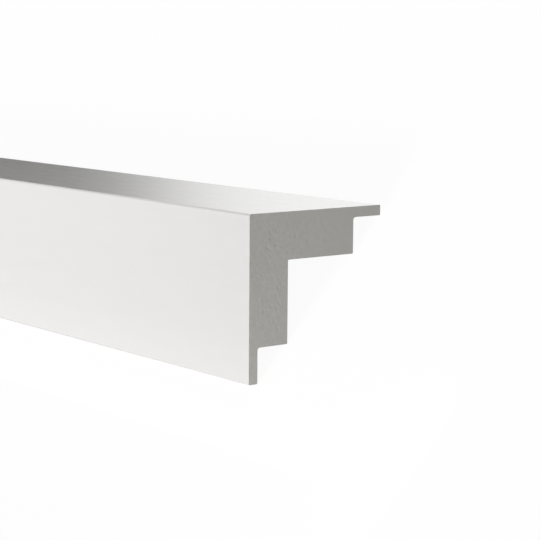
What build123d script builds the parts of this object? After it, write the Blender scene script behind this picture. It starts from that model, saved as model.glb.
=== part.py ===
"""Rabbeted corner board: one length of white cellular PVC trim for the outside corner of a building.

The section is a right angle with two equal legs. Along the free edge of each leg a rabbet is
milled out of the back, so that a thin lip, flush with the outer face, covers the cut ends of
the siding. The board lies as it rests on a floor: outer corner up, both legs sloping down at
45 degrees, with its length along X and its origin in the middle of its footprint.

All sizes are in millimetres.
"""

import os
from math import sqrt

from build123d import *

# Stock: the 5/4 x 4 trade size, which is 1 in thick with 3-1/2 in faces, in a 10 ft length.
stock_length = 3048.0
leg_width = 88.9
leg_thickness = 25.4

# Rabbet along the free edge of each leg, and the lip that it leaves.
rabbet_width = 19.05
lip_thickness = 5.8
rabbet_root_radius = 1.6

# Radii that the die and the cutters leave on the other edges of the section.
outer_corner_radius = 1.2
inside_corner_radius = 0.5
leg_edge_radius = 0.5
lip_edge_radius = 0.8

# Where the solid part of a leg ends and its lip begins, from the outer corner.
shoulder = leg_width - rabbet_width

# A rounded right-angled edge that points straight up or down stops this far, for each
# millimetre of its radius, short of the sharp corner.
rounding_loss = sqrt(2) - 1

# Height of the sharp outer corner above the floor. The board stands on whichever reaches
# lower: the inner edges of the legs or the inner edges of the lips.
leg_reach = (shoulder + leg_thickness) / sqrt(2) - leg_edge_radius * rounding_loss
lip_reach = (leg_width + lip_thickness) / sqrt(2) - lip_edge_radius * rounding_loss
corner_height = max(leg_reach, lip_reach)

# The section's own axes: x runs down the front leg, y down the back leg, from the outer corner.
section_plane = Plane(
    origin=(0, 0, corner_height),
    x_dir=(0, -1, -1),
    z_dir=(1, 0, 0),
)
# The two legs mirror each other about the line that halves the right angle.
mitre_plane = Plane(origin=(0, 0, 0), z_dir=(1, -1, 0))

# Corners of the front leg's half of the section.
outer_corner = (0, 0)
lip_outer_edge = (leg_width, 0)
lip_inner_edge = (leg_width, lip_thickness)
rabbet_root = (shoulder, lip_thickness)
leg_inner_edge = (shoulder, leg_thickness)
inside_corner = (leg_thickness, leg_thickness)


def both_legs(point):
    """A corner of the front leg and the corner that mirrors it on the back leg."""
    return [point, (point[1], point[0])]


with BuildPart() as corner_board:
    with BuildSketch(section_plane) as section:
        with BuildLine():
            Polyline(
                outer_corner,
                lip_outer_edge,
                lip_inner_edge,
                rabbet_root,
                leg_inner_edge,
                inside_corner,
            )
            mirror(about=mitre_plane)
        make_face()

        # The edges are eased by the kind of corner that each one is.
        eased_corners = [
            (outer_corner_radius, [outer_corner]),
            (inside_corner_radius, [inside_corner]),
            (rabbet_root_radius, both_legs(rabbet_root)),
            (leg_edge_radius, both_legs(leg_inner_edge)),
            (lip_edge_radius, both_legs(lip_outer_edge) + both_legs(lip_inner_edge)),
        ]
        for radius, corners in eased_corners:
            fillet(
                [section.vertices().sort_by_distance(corner)[0] for corner in corners],
                radius=radius,
            )
    extrude(amount=stock_length / 2, both=True)

corner_board.part.label = "corner_board"

os.makedirs("parts", exist_ok=True)
export_step(corner_board.part, "parts/corner_board.step")
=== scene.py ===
# %% [markdown]
# This lesson dresses one length of rabbeted corner board: white cellular PVC trim that wraps the
# outside corner of a building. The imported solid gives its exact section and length, so it is loaded
# first and everything below is measured from it. The board lies as it rests on a floor, with its outer
# corner up and its two legs sloping down at 45 degrees, and its length runs along X.

# %% Load the solid and take its measurements
from math import cos, pi, radians, sin, sqrt

import bpy
import numpy as np
from mathutils import Matrix, Vector, geometry, noise


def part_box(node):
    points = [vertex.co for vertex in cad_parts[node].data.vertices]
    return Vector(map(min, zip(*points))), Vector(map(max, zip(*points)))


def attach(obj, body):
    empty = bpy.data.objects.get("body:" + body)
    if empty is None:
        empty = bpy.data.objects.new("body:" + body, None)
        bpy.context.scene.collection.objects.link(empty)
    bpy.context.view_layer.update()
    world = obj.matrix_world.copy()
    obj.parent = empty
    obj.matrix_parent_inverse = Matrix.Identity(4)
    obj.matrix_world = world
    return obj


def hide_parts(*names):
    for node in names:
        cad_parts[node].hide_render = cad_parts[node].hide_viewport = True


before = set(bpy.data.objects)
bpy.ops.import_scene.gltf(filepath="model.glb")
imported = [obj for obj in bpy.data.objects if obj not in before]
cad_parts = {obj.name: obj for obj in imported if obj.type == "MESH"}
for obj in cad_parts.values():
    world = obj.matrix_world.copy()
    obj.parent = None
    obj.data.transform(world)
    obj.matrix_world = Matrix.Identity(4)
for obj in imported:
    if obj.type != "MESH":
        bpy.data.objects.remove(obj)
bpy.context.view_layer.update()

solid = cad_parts["corner_board"]
low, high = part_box("corner_board")

MM = 0.001
along = Vector((1, 0, 0))
out_front = Vector((0, -1, 1)).normalized()
out_back = Vector((0, 1, 1)).normalized()
face_reach = max(out_front.dot(v.co) for v in solid.data.vertices)
near_corner = Vector((high.x, 0, face_reach * sqrt(2)))
print("length", round(high.x - low.x, 4), "m, outer corner", round(near_corner.z / MM, 2), "mm up")

# %% [markdown]
# The picture is taken close to one sawn end with a long lens. A camera could be placed by angles, but
# this view was settled against the board's own faces, so it is given in the board's three directions:
# along its length, out from the front face and out from the back face, from the sharp outer corner of
# the near end. The board lies tilted by 45 degrees, and the camera then tilts with it.

# %% Work out where the camera stands and which way is up
eye_along, eye_out_front, eye_out_back = 0.6883, 0.5262, 0.0909
aim_in_front, aim_in_back = 0.01341, 0.02975
camera_roll = radians(-0.44)

eye = near_corner + eye_along * along + eye_out_front * out_front + eye_out_back * out_back
aim = near_corner - aim_in_front * out_front - aim_in_back * out_back
looking = (aim - eye).normalized()
level_right = looking.cross(out_back).normalized()
level_up = level_right.cross(looking)
camera_up = cos(camera_roll) * level_up + sin(camera_roll) * level_right
camera_right = looking.cross(camera_up)
print("camera stands", round((eye - near_corner).length, 3), "m from the near corner")

# %% Set up the camera
lens_mm = 114.12
sensor_mm = 36.0
sees_as_far_as = 200.0

camera = bpy.data.objects.new("camera", bpy.data.cameras.new("camera"))
camera.data.lens = lens_mm
camera.data.sensor_width = sensor_mm
camera.data.clip_end = sees_as_far_as
axes = Matrix((camera_right, camera_up, -looking)).transposed()
camera.matrix_world = Matrix.Translation(eye) @ axes.to_4x4()
bpy.context.scene.collection.objects.link(camera)
bpy.context.scene.camera = camera
bpy.context.scene.view_settings.view_transform = "Standard"
print("camera has a", lens_mm, "mm lens")

# %% [markdown]
# Two kinds of surface show how the board was made: its long faces came smooth out of a die or off a
# cutter, and its ends were sawn. The solid could be dressed as it is, but the sawn ends need real relief,
# so the board is built again as a mesh that follows the solid's section exactly. The section is read off
# the solid: on its end face, an edge that only one triangle uses is part of the outline, and following
# those edges round gives it in order.

# %% Read the outline of the section
on_end_plane = 0.001 * MM
digits = 7


def end_outline(mesh, end_x):
    """The section's corners in order round the end face, as (y, z) in metres."""
    steps = set()
    for face in mesh.polygons:
        corners = [mesh.vertices[i].co for i in face.vertices]
        if all(abs(corner.x - end_x) < on_end_plane for corner in corners):
            flat = [(round(corner.y, digits), round(corner.z, digits)) for corner in corners]
            steps.update(zip(flat, flat[1:] + flat[:1]))
    following = {a: b for a, b in steps if (b, a) not in steps}
    ring = [min(following)]
    while len(ring) < len(following):
        ring.append(following[ring[-1]])
    return np.array(ring)


outline = end_outline(solid.data, high.x)
corner_count = len(outline)
step_lengths = np.linalg.norm(np.roll(outline, -1, axis=0) - outline, axis=1)
print("outline", corner_count, "corners,", round(step_lengths.sum() / MM, 1), "mm round")

# %% [markdown]
# Each step of the outline has a direction that it faces, and each corner faces halfway between its two
# steps. Faces that look up carry the smooth skin that the die left. Faces that look down were milled:
# the rabbets, the lips' edges and the backs that bear on the wall. Which is which could be picked by
# hand, but the direction tells it for any size of the section.

# %% Find which way each face looks
def turned_out(steps):
    """Directions that point out of the section, square to steps taken anticlockwise round it."""
    out = np.column_stack([steps[:, 1], -steps[:, 0]])
    return out / np.linalg.norm(out, axis=1)[:, None]


step_facing = turned_out(np.roll(outline, -1, axis=0) - outline)
corner_facing = step_facing + np.roll(step_facing, 1, axis=0)
corner_facing /= np.linalg.norm(corner_facing, axis=1)[:, None]
step_is_milled = step_facing[:, 1] < 0
print("steps that were milled", int(step_is_milled.sum()), "of", corner_count)

# %% [markdown]
# A saw leaves two things on a foamed board. It opens the cells, so that the end is a field of lumps and
# small pits, and it breaks the sharp arris along the rim by about a tenth of a millimetre. A bump in the
# material could fake both, but the end is what the camera is nearest to and a bump has no rim, so the
# end is a fine net of triangles. Points are laid in staggered rows inside the outline, and a Delaunay
# triangulation that keeps the outline as its border joins them.

# %% Lay points over a sawn end
net_step = 0.45 * MM
rim_loss = 0.10 * MM
rim_unevenness = 0.07 * MM
rim_wave = 1.3 * MM


def inside(points, ring):
    """Which points lie inside a closed ring, by counting the sides that a ray to one side crosses."""
    crossed = np.zeros(len(points), bool)
    for (y1, z1), (y2, z2) in zip(ring, np.roll(ring, -1, axis=0)):
        spans = (z1 > points[:, 1]) != (z2 > points[:, 1])
        run = (y2 - y1) / (z2 - z1) if z1 != z2 else 0.0
        crossed ^= spans & (points[:, 0] < y1 + (points[:, 1] - z1) * run)
    return crossed


def staggered_rows(ring, step):
    """Points in rows a step apart, every second row shifted by half a step, over a ring's box."""
    least, most = ring.min(axis=0), ring.max(axis=0)
    rows = np.arange(least[1], most[1], step * sqrt(3) / 2)
    columns = np.arange(least[0], most[0], step)
    shifts = np.arange(len(rows)) % 2 * step / 2
    y = columns[None, :] + shifts[:, None]
    z = np.broadcast_to(rows[:, None], y.shape)
    return np.column_stack([y.ravel(), z.ravel()])


rim_noise = np.array([noise.noise(Vector((y, z, 0)) / rim_wave) for y, z in outline])
rim = outline - corner_facing * (rim_loss + rim_unevenness * rim_noise)[:, None]
core = outline - corner_facing * (rim_loss + net_step)
filling = staggered_rows(outline, net_step)
filling = filling[inside(filling, core)]
net_points = np.vstack([rim, filling])
print("end net", len(rim), "points on the rim,", len(filling), "inside")

# %% Join the points into a net
INSIDE_ONLY = 1
same_place = 1e-9

_, _, net_faces, net_origins, _, _ = geometry.delaunay_2d_cdt(
    [Vector(point) for point in net_points],
    [],
    [list(range(corner_count))],
    INSIDE_ONLY,
    same_place,
)
net_order = [origins[0] for origins in net_origins]
net_triangles = np.array([[net_order[i] for i in face] for face in net_faces])
print("end net", len(net_triangles), "triangles")

# %% [markdown]
# Cellular PVC is dense near its skin and coarser in the middle, where it cooled last. So the sawn relief
# needs to know how deep inside the section each point lies: the distance to the nearest step of the
# outline. A share that grows from 0 at the skin to 1 in the thick of the corner then mixes fine and
# coarse cells.

# %% Measure how deep inside the section each point lies
skin_depth = 1.5 * MM
core_depth = 14.0 * MM


def depth_inside(places, ring):
    """The distance from each place to the nearest side of a closed ring."""
    nearest = np.full(len(places), np.inf)
    for a, b in zip(ring, np.roll(ring, -1, axis=0)):
        side = b - a
        share = np.clip((places - a) @ side / (side @ side), 0, 1)
        nearest = np.minimum(nearest, np.linalg.norm(places - a - share[:, None] * side, axis=1))
    return nearest


net_depths = depth_inside(net_points, outline)
core_shares = np.clip((net_depths - skin_depth) / (core_depth - skin_depth), 0, 1)
print("deepest point", round(net_depths.max() / MM, 1), "mm below the skin")

# %% [markdown]
# The relief is noise at the scale of the real surface. Broad lumps come from the blade tearing soft foam.
# Cells that were larger than the rest leave pits, one round each Voronoi centre that draws a high
# number. The blade tears most on the front leg, where it goes in, and cuts cleaner towards the end of
# the back leg. A displacement node would do the same at render time, but the relief is worked out here,
# so that the exported mesh has it too. Everything goes inward from the end plane, and the board keeps
# its length.

# %% Say how rough the cut is
entry_tear, exit_tear = 0.90, 0.28
tear_eases_over = 40 * MM


def tear(y):
    """How rough the cut is, from the front leg, where the blade enters, to the back leg."""
    share = min(1.0, max(0.0, y / tear_eases_over))
    return entry_tear + (exit_tear - entry_tear) * share


print("tear from", tear(low.y), "on the front leg to", round(tear(high.y), 2), "on the back leg")

# %% Work out the relief of a sawn end
lump_width = 3.6 * MM
lump_depth = 0.32 * MM
grain_width = 1.1 * MM
grain_depth = 0.08 * MM
cell_width = 2.2 * MM
pit_share = 0.25
pit_depth = 0.30 * MM
pit_radius_in_cells = 0.6
draw_spread = 7.3
least_coarse = 0.25


def sawn_depth(y, z, core_share, seed):
    """How far below the end plane the sawn foam lies at a place, in metres."""
    place = Vector((y, z, seed))
    lumps = 0.5 + 0.5 * noise.noise(place / lump_width)
    grain = 0.5 + 0.5 * noise.noise(place / grain_width)
    distances, centres = noise.voronoi(place / cell_width)
    # A cell draws a number from -1 to 1, and the highest draws are pits.
    is_pit = noise.cell(centres[0] * draw_spread) > 1 - 2 * pit_share
    pit = max(0.0, 1 - distances[0] / pit_radius_in_cells) if is_pit else 0.0
    coarse = lump_depth * lumps + pit_depth * pit
    coarseness = least_coarse + (1 - least_coarse) * core_share
    return tear(y) * (grain_depth * grain + coarseness * coarse)


def relief(seed):
    """The depth of every point of an end's net. Each seed gives another cut through the same foam."""
    pairs = zip(net_points, core_shares)
    return np.array([sawn_depth(y, z, core_share, seed) for (y, z), core_share in pairs])


near_relief = relief(seed=0.0)
far_relief = relief(seed=0.4)
mean_depth, most_depth = near_relief.mean() / MM, near_relief.max() / MM
print("relief", round(mean_depth, 3), "mm mean,", round(most_depth, 3), "mm deepest")

# %% [markdown]
# The board is then one closed mesh. A section could be extruded and its ends cut, but joining rings
# keeps every point under control. The long faces are four rings of the outline: the two eased rims, and
# a ring just inside each where the full section begins. The end nets use the rims' own points, so there
# is no gap between an end and the long faces. Face material numbers pick the finish: skin, milled or
# sawn.

# %% Collect the board's points and faces
rim_width = 0.40 * MM
SKIN, MILLED, SAWN = range(3)

points = []
faces = []
finish_numbers = []


def ring_at(x, ring):
    """A ring's points at a place along the board; x is one number or one for each point."""
    return np.column_stack([np.broadcast_to(x, len(ring)), ring])


def add_points(block):
    """Adds points and returns the number of the first."""
    first = sum(len(added) for added in points)
    points.append(block)
    return first


def add_end(end_x, inward, depths):
    """Adds an end's net, rim first, and returns the number of its first point."""
    first = add_points(ring_at(end_x + inward * depths, net_points))
    order = (0, 1, 2) if inward < 0 else (0, 2, 1)
    faces.extend((net_triangles[:, order] + first).tolist())
    finish_numbers.extend([SAWN] * len(net_triangles))
    return first


near_rim = add_end(high.x, -1, near_relief)
near_ring = add_points(ring_at(high.x - rim_width, outline))
far_ring = add_points(ring_at(low.x + rim_width, outline))
far_rim = add_end(low.x, 1, far_relief)

for nearer, farther in ((near_rim, near_ring), (near_ring, far_ring), (far_ring, far_rim)):
    for i in range(corner_count):
        j = (i + 1) % corner_count
        faces.append((nearer + i, farther + i, farther + j, nearer + j))
        finish_numbers.append(MILLED if step_is_milled[i] else SKIN)
print("faces", {name: finish_numbers.count(n) for n, name in enumerate(("skin", "milled", "sawn"))})

# %% Make the mesh
board_mesh = bpy.data.meshes.new("rabbeted_corner_board")
board_mesh.from_pydata(np.vstack(points).tolist(), [], faces)
board_mesh.polygons.foreach_set("material_index", finish_numbers)
board_mesh.polygons.foreach_set("use_smooth", [True] * len(faces))
board = bpy.data.objects.new("rabbeted_corner_board", board_mesh)
bpy.context.scene.collection.objects.link(board)
print("board", len(board_mesh.vertices), "points", len(board_mesh.polygons), "faces")

# %% [markdown]
# Smooth shading would blur the change from a flat face to the small round beside it, and flat shading
# would show the rounds' facets. The weighted normal modifier lets the large face decide, so flats stay
# flat and the rounds stay round, and the arris between a sawn end and the long faces is marked sharp.

# %% Shade flats flat and rounds round
rim_points = set(range(near_rim, near_rim + corner_count))
rim_points |= set(range(far_rim, far_rim + corner_count))
sharp = [edge.vertices[0] in rim_points and edge.vertices[1] in rim_points for edge in board_mesh.edges]
sharp_edges = board_mesh.attributes.new("sharp_edge", "BOOLEAN", "EDGE")
sharp_edges.data.foreach_set("value", sharp)

weighted = board.modifiers.new("flat_faces_decide", "WEIGHTED_NORMAL")
weighted.mode = "FACE_AREA"
weighted.weight = 100
weighted.keep_sharp = True
print("sharp edges", sum(sharp))

# %% [markdown]
# Materials are graphs of nodes. A formula is easier to read as an expression than as a chain of nodes,
# so a small class stands for one output of a node and lets Python's own operators add the Math nodes.
# Every other node comes from one method of the graph, which takes the node's type, its settings and
# its sockets.

# %% Write shader maths as Python
class Wire:
    """One output of a shader node. Arithmetic on it adds Math nodes."""

    def __init__(self, graph, socket):
        self.graph = graph
        self.socket = socket

    def maths(self, operation, *values):
        """A Math node with these values, numbers or wires, on its sockets in order."""
        return self.graph.node("Math", {"operation": operation}, dict(enumerate(values)))

    def __add__(self, other):
        return self.maths("ADD", self, other)

    def __sub__(self, other):
        return self.maths("SUBTRACT", self, other)

    def __rsub__(self, other):
        return self.maths("SUBTRACT", other, self)

    def __mul__(self, other):
        return self.maths("MULTIPLY", self, other)

    def __truediv__(self, other):
        return self.maths("DIVIDE", self, other)

    def __rtruediv__(self, other):
        return self.maths("DIVIDE", other, self)

    def exponential(self):
        """The number e to the power of this value."""
        return self.maths("EXPONENT", self)

    def larger(self, other):
        """Whichever of two values is the larger."""
        return self.maths("MAXIMUM", self, other)

    __radd__ = __add__
    __rmul__ = __mul__


print("shader maths ready")

# %% Build node graphs
class Graph:
    """The node tree of a material or of the world."""

    def __init__(self, owner):
        owner.use_nodes = True
        self.tree = owner.node_tree
        self.tree.nodes.clear()

    def node(self, kind, settings=None, sockets=None, output=0):
        """Adds a node: settings first, then its sockets by name or number. Returns one output."""
        made = self.tree.nodes.new("ShaderNode" + kind)
        for name, value in (settings or {}).items():
            setattr(made, name, value)
        for name, value in (sockets or {}).items():
            socket = self.in_use(made.inputs, name)
            if isinstance(value, Wire):
                self.tree.links.new(value.socket, socket)
            else:
                socket.default_value = value
        return Wire(self, self.in_use(made.outputs, output)) if made.outputs else made

    @staticmethod
    def in_use(sockets, name):
        """The socket of that name or number, among those that the settings leave in use."""
        usable = [socket for socket in sockets if socket.enabled]
        if isinstance(name, int):
            return usable[name]
        return next(socket for socket in usable if socket.name == name)

    def places(self, per_metre):
        """The surface's own places in the board's frame, times a scale along each axis."""
        metres = self.node("TexCoord", output="Object")
        return self.node("VectorMath", {"operation": "MULTIPLY"}, {0: metres, 1: per_metre})

    def noise(self, places, scale, detail=2.0, roughness=0.5):
        """Soft noise around 0.5, with a scale in lumps for each unit of the places."""
        sockets = {"Vector": places, "Scale": scale, "Detail": detail, "Roughness": roughness}
        return self.node("TexNoise", {}, sockets)

    def between(self, share, first, second):
        """A colour that goes from the first to the second as the share goes from 0 to 1."""
        sockets = {"Factor": share, "A": first, "B": second}
        return self.node("Mix", {"data_type": "RGBA"}, sockets)

    def bump(self, height, depth):
        """A normal from heights of 0 to 1 that stand for a depth in metres."""
        return self.node("Bump", {}, {"Strength": 1.0, "Distance": depth, "Height": height})

    def rays(self):
        """Three switches: 1 for rays from the camera, from a reflection and through clear things."""
        kinds = ("Is Camera Ray", "Is Glossy Ray", "Is Transmission Ray")
        return [self.node("LightPath", output=kind) for kind in kinds]

    def principled(self, sockets):
        """Ends a material in one Principled shader with these sockets."""
        shader = self.node("BsdfPrincipled", {}, sockets)
        self.node("OutputMaterial", {}, {"Surface": shader})


print("node graphs ready")

# %% [markdown]
# The skin that the die leaves on cellular PVC is a satin white, a little warm. Lines run along its length
# where the melt dragged on the die: fine ones, broad bands, and short drags that fade after a few
# centimetres. An image could carry them, but noise that is stretched along X gives them at any length.
# They change the gloss and a few microns of height, and hardly the colour, so they show only in a low
# reflection. A thin coat gives the sheen that a foamed board's closed skin has.

# %% Make the extruded skin
PER_MM = 1 / MM
DRAWN_OUT = (10.0, PER_MM, PER_MM)
DRAGGED = (330.0, PER_MM, PER_MM)
lines_per_mm = 0.9
bands_per_mm = 0.09
drags_per_mm = 0.2
skin_relief = 0.015 * MM
clean_white = (0.888, 0.876, 0.857, 1)
dragged_white = (0.8375, 0.827, 0.809, 1)


def extruded_skin():
    """A satin white skin with lines, bands and short drags along the board."""
    material = bpy.data.materials.new("extruded_skin")
    graph = Graph(material)
    drawn_out = graph.places(DRAWN_OUT)
    lines = graph.noise(drawn_out, lines_per_mm, detail=3.0)
    bands = graph.noise(drawn_out, bands_per_mm)
    drags = graph.noise(graph.places(DRAGGED), drags_per_mm, detail=3.0)
    graph.principled({
        "Base Color": graph.between(0.35 * bands + 0.65 * drags, clean_white, dragged_white),
        "Roughness": 0.26 + 0.03 * lines + 0.04 * bands + 0.09 * drags,
        "IOR": 1.5,
        "Coat Weight": 1.0 - 0.05 * bands - 0.18 * drags,
        "Coat Roughness": 0.10,
        "Normal": graph.bump(0.4 * lines + 0.6 * drags, skin_relief),
    })
    return material


skin_finish = extruded_skin()
print("finish", skin_finish.name, "with", len(skin_finish.node_tree.nodes), "nodes")

# %% [markdown]
# The rabbets and the backs were run past rotating cutters. Each knife takes a shallow scoop, so the
# surface has ripples square to the length, and cutting through the skin leaves it duller. The ripples
# are a few microns deep, too shallow to be worth a mesh, so a wave pattern raises them as bump.

# %% Make the milled finish
knife_pitch = 1.7 * MM
WAVE_FACTOR = 20  # a Wave node multiplies its places by this
fuzz_per_mm = 2.2
ripple_depth = 0.008 * MM
milled_white = (0.855, 0.85, 0.835, 1)
fuzzy_white = (0.825, 0.82, 0.805, 1)


def milled_back():
    """A dull white with knife ripples across the board and the fuzz of cut foam."""
    material = bpy.data.materials.new("milled_back")
    graph = Graph(material)
    places = graph.places((PER_MM, PER_MM, PER_MM))
    ripple_scale = 2 * pi / (knife_pitch * PER_MM) / WAVE_FACTOR
    wave = {"Vector": places, "Scale": ripple_scale, "Distortion": 0.6}
    ripples = graph.node("TexWave", {"bands_direction": "X"}, wave, output=1)
    fuzz = graph.noise(places, fuzz_per_mm, detail=3.0)
    graph.principled({
        "Base Color": graph.between(fuzz, milled_white, fuzzy_white),
        "Roughness": 0.52 + 0.16 * fuzz,
        "IOR": 1.5,
        "Normal": graph.bump(0.6 * ripples + 0.4 * fuzz, ripple_depth),
    })
    return material


milled_finish = milled_back()
print("finish", milled_finish.name, "with", len(milled_finish.node_tree.nodes), "nodes")

# %% [markdown]
# The sawn foam is matt, and a little greyer than the skin: that grey is painted shade, the shade that its
# open cells hold. The mesh has the lumps and the larger pits. The finish adds what is finer than the mesh:
# a mottle at the scale of the lumps, cell walls from a Voronoi pattern and a fine grain in the colour and
# the height. All of it calms down along the back leg, by the same tear as the mesh.

# %% Make the sawn end finish
mottle_per_mm = 0.45
grain_per_mm = 2.4
cells_per_mm = 2.6
cell_depth = 0.06 * MM
# these foam colours carry painted shade: the shade of the open cells is painted in as a grey below the
# skin's white
pale_foam = (0.922, 0.91, 0.861, 1)
shaded_foam = (0.6615, 0.65, 0.608, 1)


def sawn_end():
    """Matt foam, mottled and grainy, and calmer where the blade cut clean."""
    material = bpy.data.materials.new("sawn_end")
    graph = Graph(material)
    places = graph.places((PER_MM, PER_MM, PER_MM))
    mottle = graph.noise(places, mottle_per_mm, detail=4.0, roughness=0.6)
    grain = graph.noise(places, grain_per_mm)
    walls = {"Vector": places, "Scale": cells_per_mm}
    cells = graph.node("TexVoronoi", {"feature": "F1"}, walls, output="Distance")
    torn = graph.node("MapRange", {}, {
        "Value": graph.node("SeparateXYZ", {}, {"Vector": places}, output="Y"),
        "From Min": 0.0,
        "From Max": tear_eases_over * PER_MM,
        "To Min": 1.0,
        "To Max": exit_tear / entry_tear,
    })
    shade = 0.5 + torn * (0.6 * mottle + 0.25 * grain + 0.15 * cells - 0.5)
    graph.principled({
        "Base Color": graph.between(shade, pale_foam, shaded_foam),
        "Roughness": 0.82 + 0.12 * grain,
        "IOR": 1.45,
        "Specular IOR Level": 0.3,
        "Normal": graph.bump(torn * (0.6 * cells + 0.4 * grain), cell_depth),
    })
    return material


sawn_finish = sawn_end()
print("finish", sawn_finish.name, "with", len(sawn_finish.node_tree.nodes), "nodes")

# %% Give the board its finishes
for finish in (skin_finish, milled_finish, sawn_finish):
    board_mesh.materials.append(finish)
print("finishes", [finish.name for finish in board_mesh.materials])

# %% [markdown]
# The exported model carries the finishes as pictures laid out on a map. A plain unwrap would give nearly
# all of it to the long faces, which hardly change along their length. This map keeps half its height for
# them, squeezed along X and unrolled round the section, and gives each sawn end a square of its own.

# %% Say where each part goes on the map
margin = 0.01
half = 0.5
section_span = np.ptp(outline, axis=0).max()
unrolled = np.concatenate([[0.0], np.cumsum(step_lengths)]) / step_lengths.sum()


def along_share(x):
    """How far across the map a place along the board goes."""
    return margin + (1 - 2 * margin) * (x - low.x) / (high.x - low.x)


def round_share(corner):
    """How far up the lower half a corner of the unrolled section goes."""
    return margin + (half - 2 * margin) * unrolled[corner]


def end_place(point, left):
    """Where a point of a sawn end goes, in the square whose left side is given."""
    share = (np.array(point[1:]) - outline.min(axis=0)) / section_span
    return np.array([left, half]) + margin + (half - 2 * margin) * share


print("map gives the ends squares", half - 2 * margin, "wide")

# %% Lay out the map for the exported pictures
picture_map = board_mesh.uv_layers.new(name="OFBake")
map_places = np.zeros((len(board_mesh.loops), 2))
turns_at_next_corner = (2, 3)
side_number = 0
for face in board_mesh.polygons:
    for turn, loop in enumerate(face.loop_indices):
        place = board_mesh.vertices[board_mesh.loops[loop].vertex_index].co
        if face.material_index == SAWN:
            map_places[loop] = end_place(place, 0.0 if place.x > 0 else half)
        else:
            corner = side_number % corner_count + (turn in turns_at_next_corner)
            map_places[loop] = along_share(place.x), round_share(corner)
    side_number += face.material_index != SAWN
picture_map.data.foreach_set("uv", map_places.ravel())
print("map", map_places.min(axis=0).round(3), map_places.max(axis=0).round(3))

# %% [markdown]
# The stage is a plain white floor. Lit by lamps alone it would come out in uneven greys, so its material
# glows just under white for the camera's rays, with a small share of the ordinary lit surface added,
# which keeps a faint shadow of the board. In reflections it is white too, apart from one dark card that
# lies across it behind the board. The skin is glossy at a low angle, and the card gives the upper face
# its fade from dark to pale, as such a card does in a studio. The card's edges run at 45 degrees to the
# board, so the sum of X and Y says how far a place on the floor lies across it.

# %% Make the floor's finish
WHITE = (1, 1, 1, 1)
floor_tone = (0.6, 0.6, 0.6, 1)
floor_glow = 0.95
floor_lit_share = 0.12
card_tone = 0.01
card_from, card_to = high.x - 0.704, high.x - 0.149
card_softness = 0.045


def floor_finish():
    """White to the camera with a faint shadow, and with a dark card in reflections alone."""
    material = bpy.data.materials.new("white_floor")
    graph = Graph(material)
    seen, glossy, through = graph.rays()
    metres = graph.node("TexCoord", output="Object")
    sum_of_x_and_y = {0: metres, 1: (1, 1, 0)}
    across = graph.node("VectorMath", {"operation": "DOT_PRODUCT"}, sum_of_x_and_y, output="Value")

    def passed(line):
        """Goes from 0 to 1 as the floor crosses a line, steepest at the line and slowly far from it."""
        return 1 / (1 + ((line - across) / card_softness).exponential())

    card = passed(card_from) * (1 - passed(card_to))
    mirrored = 1 - (1 - card_tone) * card
    shown = floor_glow * seen + mirrored * glossy + through
    glow = graph.node("Emission", {}, {"Color": WHITE, "Strength": shown})
    lit = graph.node("BsdfDiffuse", {}, {"Color": floor_tone})
    lit_share = seen * floor_lit_share + (1 - seen.larger(glossy))
    nothing = graph.node("Emission", {}, {"Strength": 0.0})
    faintly_lit = graph.node("MixShader", {}, {0: lit_share, 1: nothing, 2: lit})
    both = graph.node("AddShader", {}, {0: faintly_lit, 1: glow})
    graph.node("OutputMaterial", {}, {"Surface": both})
    return material


white_floor = floor_finish()
print("card from", round(card_from, 3), "to", round(card_to, 3), "m, by the sum of X and Y")

# %% Lay the floor
floor_half = 80.0
floor_corners = [(-1, -1), (1, -1), (1, 1), (-1, 1)]

floor_mesh = bpy.data.meshes.new("floor")
floor_places = [(x * floor_half, y * floor_half, 0) for x, y in floor_corners]
floor_mesh.from_pydata(floor_places, [], [(0, 1, 2, 3)])
floor_mesh.materials.append(white_floor)
floor = bpy.data.objects.new("floor", floor_mesh)
bpy.context.scene.collection.objects.link(floor)
print("floor", 2 * floor_half, "m wide")

# %% [markdown]
# The light is a plain studio's. First comes an even fill from all round, as pale walls give it. The sky
# is white to the camera and in reflections, and lights the board at a fraction of that.

# %% Fill the room with even light
fill = 0.2


def world_finish(world):
    """A white sky that gives only the fill's share of its light."""
    graph = Graph(world)
    seen, glossy, through = graph.rays()
    strength = fill + (1 - fill) * seen.larger(glossy).larger(through)
    sky = graph.node("Background", {}, {"Color": WHITE, "Strength": strength})
    graph.node("OutputWorld", {}, {"Surface": sky})


bpy.context.scene.world = bpy.data.worlds.new("studio")
world_finish(bpy.context.scene.world)
print("fill", fill, "of white")

# %% [markdown]
# Then each outer face gets a soft lamp of its own. One lamp could light both, but each is tilted away
# from the other's face, so the arris between the faces gets less of both and stays a thin darker line.
# The key, on the front face, also leans past the near end a little and rakes the sawn relief. All lamps
# are kept out of reflections, so that no highlight turns a white face into a blank.

# %% Light the two outer faces
key_strength = 1.88
key_tilt = radians(17)
key_past_end = 0.118
back_strength = 2.3
back_tilt = radians(38)
softness = radians(14)


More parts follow.
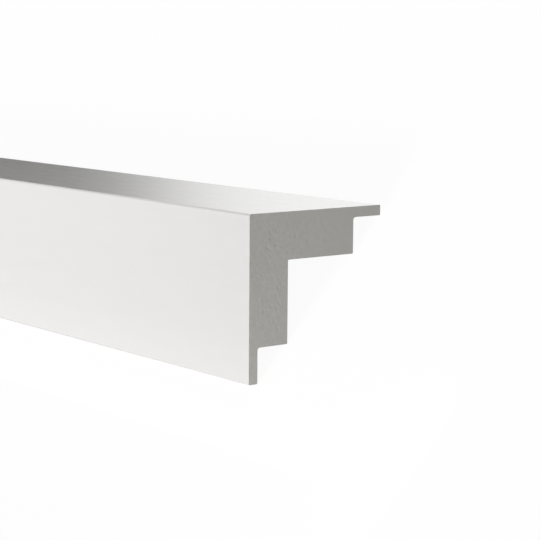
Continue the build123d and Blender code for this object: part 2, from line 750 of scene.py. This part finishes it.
def lamp(name, kind, energy, towards):
    """A lamp that stands in a direction from what it lights, and that nothing mirrors."""
    made = bpy.data.objects.new(name, bpy.data.lights.new(name, kind))
    made.data.energy = energy
    made.rotation_mode = "QUATERNION"
    made.rotation_quaternion = towards.to_track_quat("Z", "Y")
    made.visible_glossy = False
    bpy.context.scene.collection.objects.link(made)
    return made


to_key = cos(key_tilt) * out_front - sin(key_tilt) * out_back + key_past_end * along
to_back = cos(back_tilt) * out_back - sin(back_tilt) * out_front
key = lamp("key", "SUN", key_strength, to_key.normalized())
back = lamp("back", "SUN", back_strength, to_back)
key.data.angle = softness
back.data.angle = softness
print("key meets the front face at", round(out_front.dot(to_key.normalized()), 3))

# %% [markdown]
# Last, three strips stand in for what pale walls and a floor close by throw back. A long one above the
# front face stops short of the near end, so the face fades a little towards it. A low one lifts the
# lower half of the front face, and a short one lifts the foot of the sawn end.

# %% Add the strips
high_strip_length = 3.10
high_strip_stops_short = 0.024
to_front_side = Vector((0, -1, 0))


def strip(name, power, length, width, middle, ahead, up, towards):
    """A flat lamp by its middle: its place along X, how far ahead of the board's middle, and how far up."""
    made = lamp(name, "AREA", power, towards)
    made.data.shape = "RECTANGLE"
    made.data.size, made.data.size_y = length, width
    made.location = middle, -ahead, up
    made.visible_camera = False
    print(name, length, "m long,", ahead, "m ahead,", up, "m up")


strip(
    "high_strip",
    power=0.69,
    length=high_strip_length,
    width=0.06,
    middle=high.x - high_strip_stops_short - high_strip_length / 2,
    ahead=0.16,
    up=0.20,
    towards=to_front_side,
)
strip(
    "low_strip",
    power=0.121,
    length=3.20,
    width=0.02,
    middle=0.0,
    ahead=0.10,
    up=0.012,
    towards=to_front_side,
)
strip(
    "end_strip",
    power=0.0102,
    length=0.06,
    width=0.02,
    middle=high.x + 0.136,
    ahead=0.08,
    up=0.015,
    towards=along,
)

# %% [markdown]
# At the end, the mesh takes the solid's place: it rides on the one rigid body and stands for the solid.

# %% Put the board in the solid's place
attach(board, "root")
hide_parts("corner_board")
